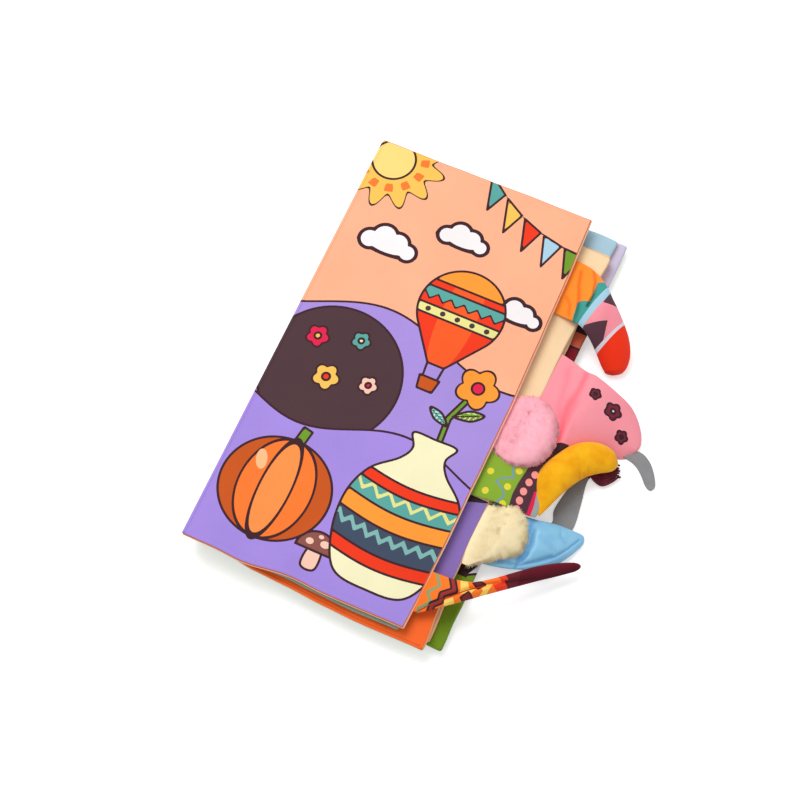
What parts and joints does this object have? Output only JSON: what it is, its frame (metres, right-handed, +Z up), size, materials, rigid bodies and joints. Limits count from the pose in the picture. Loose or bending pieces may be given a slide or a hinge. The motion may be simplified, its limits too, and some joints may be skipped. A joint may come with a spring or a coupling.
{
  "type": "crinkle cloth book",
  "caption": "Soft crinkle cloth book lying closed, with padded printed leaves hinged at the spine and stuffed, plush, satin and felt tails sewn into the fore edge.",
  "frame": {"origin": "on the underside of the back cover, below the middle of the closed front cover", "axes": "+X from the spine to the fore edge, +Y up along the spine, +Z up from the table through the leaves"},
  "size_m": [0.197, 0.2356, 0.023],
  "materials": {
    "plum_print": "printed smooth polyester cloth, lavender ground",
    "peach_print": "printed smooth polyester cloth, peach and lavender picture",
    "lavender_print": "printed smooth polyester cloth, lavender ground",
    "green_print": "printed smooth polyester cloth, green ground",
    "blue_print": "printed smooth polyester cloth, pale blue ground",
    "beige_print": "printed smooth polyester cloth, beige ground",
    "orange_print": "printed smooth polyester cloth, orange ground",
    "sage_print": "printed smooth polyester cloth, sage ground",
    "crinkle_film": "thin clear crinkle film",
    "wadding": "loose polyester wadding",
    "zigzag_print": "printed cloth, orange with zigzag bands",
    "maroon_cloth": "dark red short-pile cloth",
    "banded_print": "printed cloth, orange, teal, blue, pink and red bands",
    "pink_plush": "pale pink plush",
    "green_band_print": "printed cloth, green with a dotted dark band",
    "golden_cloth": "golden yellow brushed cloth",
    "pink_cloth": "pink smooth cloth",
    "grey_felt": "grey felt",
    "cream_plush": "cream plush",
    "blue_satin": "light blue satin",
    "maroon_yarn": "dark red yarn"
  },
  "bodies": {
    "back_cover": {"back_cover_front_panel": "plum_print", "back_cover_back_panel": "plum_print", "back_cover_crinkle_film": "crinkle_film", "back_cover_spine_fold": "plum_print"},
    "fourth_leaf": {"fourth_leaf_front_panel": "lavender_print", "fourth_leaf_back_panel": "green_print", "fourth_leaf_crinkle_film": "crinkle_film", "fourth_leaf_spine_fold": "lavender_print", "felt_strap_tab": "grey_felt"},
    "third_leaf": {"third_leaf_front_panel": "blue_print", "third_leaf_back_panel": "beige_print", "third_leaf_crinkle_film": "crinkle_film", "third_leaf_spine_fold": "blue_print", "satin_fin_base": "blue_satin"},
    "second_leaf": {"second_leaf_front_panel": "beige_print", "second_leaf_back_panel": "orange_print", "second_leaf_crinkle_film": "crinkle_film", "second_leaf_spine_fold": "beige_print", "pink_flap_tab": "pink_cloth", "cream_plush_tail_tab": "cream_plush"},
    "first_leaf": {"first_leaf_front_panel": "sage_print", "first_leaf_back_panel": "sage_print", "first_leaf_crinkle_film": "crinkle_film", "first_leaf_spine_fold": "sage_print", "banded_tail_tab": "banded_print", "pink_plush_tail_tab": "pink_plush", "green_sleeve_tab": "green_band_print"},
    "front_cover": {"front_cover_front_panel": "peach_print", "front_cover_back_panel": "peach_print", "front_cover_crinkle_film": "crinkle_film", "front_cover_spine_fold": "peach_print", "zigzag_tail_tab": "zigzag_print"},
    "zigzag_tail": {"zigzag_tail_sleeve": "zigzag_print", "zigzag_tail_tip": "maroon_cloth", "zigzag_tail_wadding": "wadding"},
    "banded_tail": {"banded_tail_shell": "banded_print", "banded_tail_wadding": "wadding"},
    "pink_plush_tail": {"pink_plush_tail_shell": "pink_plush", "pink_plush_tail_wadding": "wadding"},
    "golden_tail": {"green_sleeve": "green_band_print", "golden_tip_shell": "golden_cloth", "golden_tip_wadding": "wadding"},
    "pink_flap": {"pink_flap_shell": "pink_cloth", "pink_flap_wadding": "wadding", "felt_hook": "grey_felt"},
    "cream_plush_tail": {"cream_plush_tail_shell": "cream_plush", "cream_plush_tail_wadding": "wadding"},
    "satin_fin": {"satin_fin_tip_shell": "blue_satin", "satin_fin_tip_wadding": "wadding"},
    "tassel_strap": {"felt_strap": "grey_felt", "tassel_binding": "maroon_yarn", "tassel": "maroon_yarn"}
  },
  "joints": [
    {"name": "fourth_leaf_turn", "type": "hinge", "parent": "back_cover", "child": "fourth_leaf", "pos_m": [-0.0596, 0, 0.0031], "axis": [0, 1, 0], "range_deg": [-45, 0]},
    {"name": "third_leaf_turn", "type": "hinge", "parent": "fourth_leaf", "child": "third_leaf", "pos_m": [-0.0596, 0, 0.0064], "axis": [0, -1, 0], "range_deg": [0, 90]},
    {"name": "second_leaf_turn", "type": "hinge", "parent": "third_leaf", "child": "second_leaf", "pos_m": [-0.0596, 0, 0.0097], "axis": [0, 1, 0], "range_deg": [-90, 0]},
    {"name": "first_leaf_turn", "type": "hinge", "parent": "second_leaf", "child": "first_leaf", "pos_m": [-0.0596, 0, 0.013], "axis": [0, 1, 0], "range_deg": [-45, 0]},
    {"name": "front_cover_turn", "type": "hinge", "parent": "first_leaf", "child": "front_cover", "pos_m": [-0.0596, 0, 0.0163], "axis": [0, -1, 0], "range_deg": [0, 180]},
    {"name": "zigzag_tail_lift", "type": "hinge", "parent": "front_cover", "child": "zigzag_tail", "pos_m": [0.05942, -0.0946, 0.01885], "axis": [0, -1, 0], "range_deg": [0, 75]},
    {"name": "banded_tail_lift", "type": "hinge", "parent": "first_leaf", "child": "banded_tail", "pos_m": [0.05998, 0.0774, 0.01555], "axis": [0, -1, 0], "range_deg": [0, 60]},
    {"name": "pink_plush_tail_lift", "type": "hinge", "parent": "first_leaf", "child": "pink_plush_tail", "pos_m": [0.06058, -0.0015, 0.01555], "axis": [0, -1, 0], "range_deg": [0, 45]},
    {"name": "golden_tail_lift", "type": "hinge", "parent": "first_leaf", "child": "golden_tail", "pos_m": [0.06052, -0.0304, 0.01555], "axis": [0, -1, 0], "range_deg": [0, 70]},
    {"name": "pink_flap_droop", "type": "hinge", "parent": "second_leaf", "child": "pink_flap", "pos_m": [0.08309, 0.0206, 0.01045], "axis": [0, -1, 0], "range_deg": [-45, 0]},
    {"name": "cream_plush_tail_lift", "type": "hinge", "parent": "second_leaf", "child": "cream_plush_tail", "pos_m": [0.07118, -0.0583, 0.01225], "axis": [0, -1, 0], "range_deg": [0, 75]},
    {"name": "satin_fin_lift", "type": "hinge", "parent": "third_leaf", "child": "satin_fin", "pos_m": [0.09349, -0.05096, 0.01036], "axis": [0.1828, -0.9832, 0], "range_deg": [0, 70]},
    {"name": "tassel_strap_droop", "type": "hinge", "parent": "fourth_leaf", "child": "tassel_strap", "pos_m": [0.07916, -0.0445, 0.00395], "axis": [0, -1, 0], "range_deg": [-45, 0]}
  ]
}
